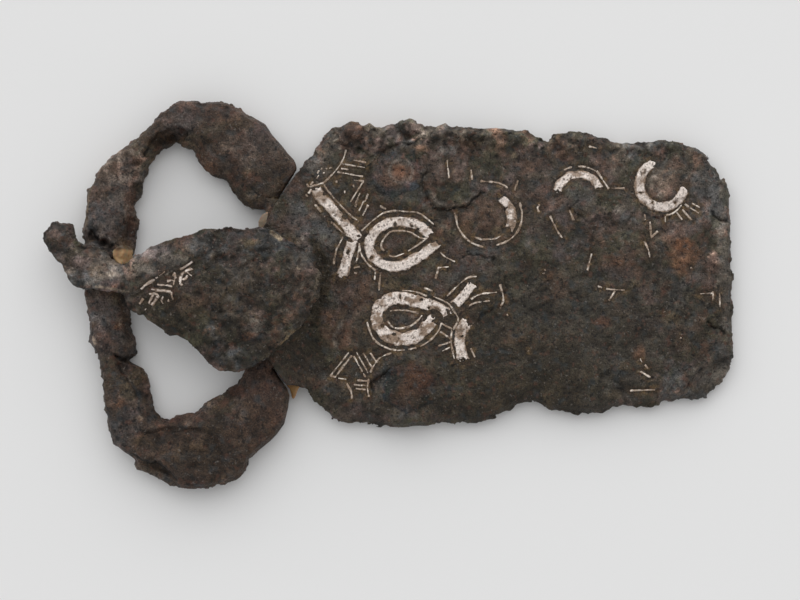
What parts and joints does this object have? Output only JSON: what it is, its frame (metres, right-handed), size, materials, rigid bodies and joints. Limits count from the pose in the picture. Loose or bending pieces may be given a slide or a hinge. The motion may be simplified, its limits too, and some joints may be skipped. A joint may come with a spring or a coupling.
{
  "type": "belt buckle with plate",
  "caption": "Excavated iron belt buckle: broad D-shaped loop, shield-based tongue and a long plate with domed rivets and silver inlay, rusted and broken at the rims.",
  "frame": {"origin": "middle of the outline seen from above, on the surface that the back of the plate lies on", "axes": "+X from the loop to the plate's far end, +Y across the belt, +Z out of the decorated face"},
  "size_m": [0.138, 0.0778, 0.0096],
  "materials": {
    "iron": "rusted, pitted and lacquered, with a dull sheen",
    "rusted_iron": "rusted, red-brown",
    "silver": "worn silver, pitted, dull",
    "resin": "amber repair resin, satin"
  },
  "bodies": {
    "plate": {"plate": "iron", "rivet_upper": "rusted_iron", "rivet_lower": "rusted_iron", "band_slant": "silver", "band_stem": "silver", "band_upper_loop": "silver", "band_lower_loop": "silver", "band_branch": "silver", "band_foot": "silver", "ring_middle": "silver", "ring_arch": "silver", "ring_end": "silver", "plate_wires": "silver", "resin_upper": "resin", "resin_lower": "resin"},
    "loop": {"loop": "iron", "resin_front": "resin"},
    "tongue": {"tongue": "iron", "tongue_wires": "silver"}
  },
  "joints": [
    {"name": "loop_hinge", "type": "hinge", "parent": "plate", "child": "loop", "pos_m": [-0.0232, 0, 0.0029], "axis": [0, 1, 0], "range_deg": [-75, 0]},
    {"name": "tongue_hinge", "type": "hinge", "parent": "loop", "child": "tongue", "pos_m": [-0.0232, 0, 0.0029], "axis": [0, 1, 0], "range_deg": [0, 22]}
  ]
}
